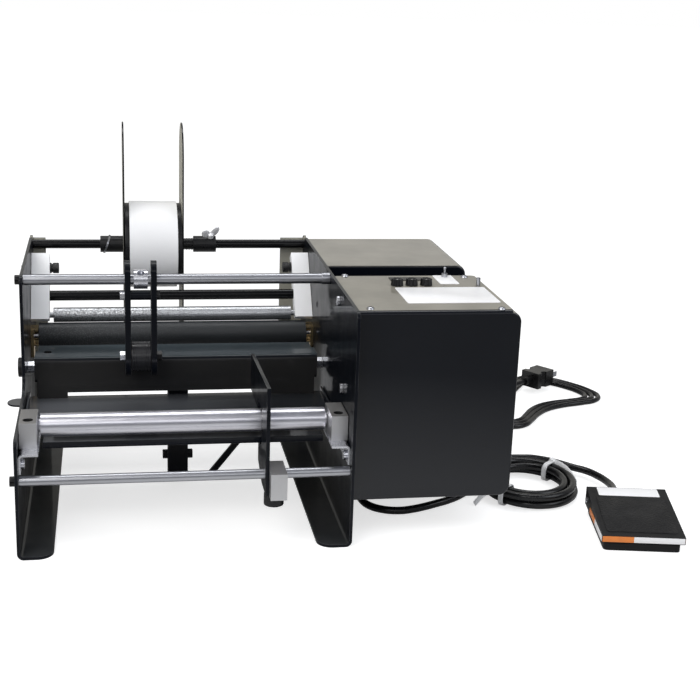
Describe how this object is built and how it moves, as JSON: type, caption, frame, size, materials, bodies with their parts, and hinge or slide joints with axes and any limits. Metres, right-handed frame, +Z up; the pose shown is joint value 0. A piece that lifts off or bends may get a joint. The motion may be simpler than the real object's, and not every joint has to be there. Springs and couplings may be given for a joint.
{
  "type": "bottle labeling machine",
  "caption": "Bench machine that peels labels off a roll with driven rollers and presses them onto a bottle lying on a roller, with a side control box and a foot pedal on a cord.",
  "frame": {"origin": "centre of the rear leg's foot plate, on its underside", "axes": "+Z up, front of the machine towards -Y, control box on the +X side"},
  "size_m": [0.6976, 0.5308, 0.342],
  "materials": {
    "black_paint": "gloss black paint",
    "panel_paint": "satin warm grey paint",
    "chrome": "bright",
    "zinc": "zinc plated",
    "steel": "ground steel",
    "aluminium": "machined",
    "brass": "plain",
    "sleeve_rubber": "matt",
    "cord_rubber": "satin",
    "white_plastic": "satin",
    "black_plastic": "satin",
    "label_paper": "matt",
    "board": "satin",
    "tie_plastic": "satin"
  },
  "bodies": {
    "frame": {"left_side_plate": "black_paint", "right_side_plate": "black_paint", "tray": "black_paint", "peel_plate": "black_paint", "frame_screws": "zinc", "rear_leg": "black_paint", "upper_rod": "chrome", "front_rod": "chrome", "roller_brackets": "zinc", "bearing_blocks": "aluminium", "front_axle": "steel", "drive_bearings": "brass", "drive_belt": "sleeve_rubber", "gear_motor": "steel", "roll_spindle": "black_paint", "roll_guides": "black_paint", "spindle_collars": "black_plastic", "arm_collar": "zinc", "control_box": "black_paint", "control_panel": "panel_paint", "drive_box": "black_paint", "panel_controls": "black_plastic", "control_board": "board", "pedal_base": "black_plastic", "pedal_pin": "zinc", "pedal_spring": "steel", "pedal_switch": "black_plastic", "cord_glands": "black_plastic", "pedal_cord_lead": "cord_rubber", "pedal_cord_coil": "cord_rubber", "pedal_cord_tail": "cord_rubber", "cord_ties": "tie_plastic", "power_cord_lead": "cord_rubber", "power_cord_hank": "cord_rubber", "power_plug": "cord_rubber"},
    "peel_knob": {"peel_knob": "black_plastic"},
    "front_roller": {"front_roller": "aluminium"},
    "drive_roller": {"drive_shaft": "steel", "drive_sleeve": "sleeve_rubber", "driven_pulley": "aluminium"},
    "motor_pulley": {"motor_pulley": "aluminium"},
    "pinch_frame": {"lock_blocks": "white_plastic", "tie_bar": "black_paint"},
    "pinch_roller": {"pinch_roller": "steel"},
    "left_lock_screw": {"left_lock_screw": "black_paint"},
    "right_lock_screw": {"right_lock_screw": "black_paint"},
    "wing_screw": {"wing_screw": "zinc"},
    "label_roll": {"roll_hub": "black_plastic", "label_roll": "label_paper"},
    "pressure_arm": {"arm_bars": "black_paint", "arm_bolts": "zinc"},
    "arm_roller": {"arm_roller": "black_plastic"},
    "bottle_guide": {"guide_plate": "black_paint", "guide_block": "aluminium"},
    "guide_knob": {"guide_knob": "black_plastic"},
    "left_knob": {"left_knob": "black_plastic"},
    "middle_knob": {"middle_knob": "black_plastic"},
    "right_knob": {"right_knob": "black_plastic"},
    "toggle_lever": {"toggle_lever": "chrome"},
    "pedal_tread": {"pedal_tread": "black_plastic"}
  },
  "joints": [
    {"name": "peel_knob_turn", "type": "hinge", "parent": "frame", "child": "peel_knob", "pos_m": [-0.152, -0.005, 0.121], "axis": [1, 0, 0], "continuous": true},
    {"name": "front_roller_spin", "type": "hinge", "parent": "frame", "child": "front_roller", "pos_m": [0, -0.1315, 0.106], "axis": [1, 0, 0], "continuous": true},
    {"name": "drive_roller_spin", "type": "hinge", "parent": "frame", "child": "drive_roller", "pos_m": [0, 0.066, 0.133], "axis": [1, 0, 0], "continuous": true},
    {"name": "motor_spin", "type": "hinge", "parent": "frame", "child": "motor_pulley", "pos_m": [0.165, 0.066, 0.071], "axis": [1, 0, 0], "continuous": true},
    {"name": "pinch_frame_swing", "type": "hinge", "parent": "frame", "child": "pinch_frame", "pos_m": [0, 0.10506, 0.19444], "axis": [-1, 0, 0], "range_deg": [0, 30]},
    {"name": "pinch_roller_spin", "type": "hinge", "parent": "pinch_frame", "child": "pinch_roller", "pos_m": [0, 0.07277, 0.15267], "axis": [1, 0, 0], "continuous": true},
    {"name": "left_lock_screw_turn", "type": "hinge", "parent": "frame", "child": "left_lock_screw", "pos_m": [-0.12, 0.10506, 0.19444], "axis": [1, 0, 0], "continuous": true},
    {"name": "right_lock_screw_turn", "type": "hinge", "parent": "frame", "child": "right_lock_screw", "pos_m": [0.12, 0.10506, 0.19444], "axis": [1, 0, 0], "continuous": true},
    {"name": "wing_screw_turn", "type": "hinge", "parent": "frame", "child": "wing_screw", "pos_m": [0.0422, 0.143, 0.212], "axis": [0, -0.4226, 0.9063], "continuous": true},
    {"name": "label_roll_spin", "type": "hinge", "parent": "frame", "child": "label_roll", "pos_m": [-0.0192, 0.143, 0.212], "axis": [1, 0, 0], "continuous": true},
    {"name": "pressure_arm_swing", "type": "hinge", "parent": "frame", "child": "pressure_arm", "pos_m": [-0.0365, -0.0335, 0.215], "axis": [-1, 0, 0], "range_deg": [0, 120]},
    {"name": "arm_roller_spin", "type": "hinge", "parent": "pressure_arm", "child": "arm_roller", "pos_m": [-0.0365, -0.0335, 0.139], "axis": [1, 0, 0], "continuous": true},
    {"name": "bottle_guide_slide", "type": "slide", "parent": "frame", "child": "bottle_guide", "axis": [1, 0, 0], "range_m": [-0.18, 0.04]},
    {"name": "guide_knob_turn", "type": "hinge", "parent": "bottle_guide", "child": "guide_knob", "pos_m": [0.0765, -0.177, 0.047], "axis": [0, 0, 1], "continuous": true},
    {"name": "left_knob_turn", "type": "hinge", "parent": "frame", "child": "left_knob", "pos_m": [0.2035, -0.073, 0.217], "axis": [0, 0, 1], "range_deg": [-135, 135]},
    {"name": "middle_knob_turn", "type": "hinge", "parent": "frame", "child": "middle_knob", "pos_m": [0.2177, -0.073, 0.217], "axis": [0, 0, 1], "range_deg": [-135, 135]},
    {"name": "right_knob_turn", "type": "hinge", "parent": "frame", "child": "right_knob", "pos_m": [0.2319, -0.073, 0.217], "axis": [0, 0, 1], "range_deg": [-135, 135]},
    {"name": "toggle_tilt", "type": "hinge", "parent": "frame", "child": "toggle_lever", "pos_m": [0.258, -0.04, 0.2191], "axis": [1, 0, 0], "range_deg": [-12, 12]},
    {"name": "pedal_press", "type": "hinge", "parent": "frame", "child": "pedal_tread", "pos_m": [0.42782, -0.13964, 0.015], "axis": [0.9833, -0.1822, 0], "range_deg": [0, 2.8], "stiffness_Nm_per_rad": 6, "springref_deg": -1.72, "deforming": ["pedal_spring"]}
  ],
  "couplings": [
    {"joint": "motor_spin", "follows": "drive_roller_spin", "ratio": 1},
    {"joint": "pinch_roller_spin", "follows": "drive_roller_spin", "ratio": -1.7333}
  ]
}
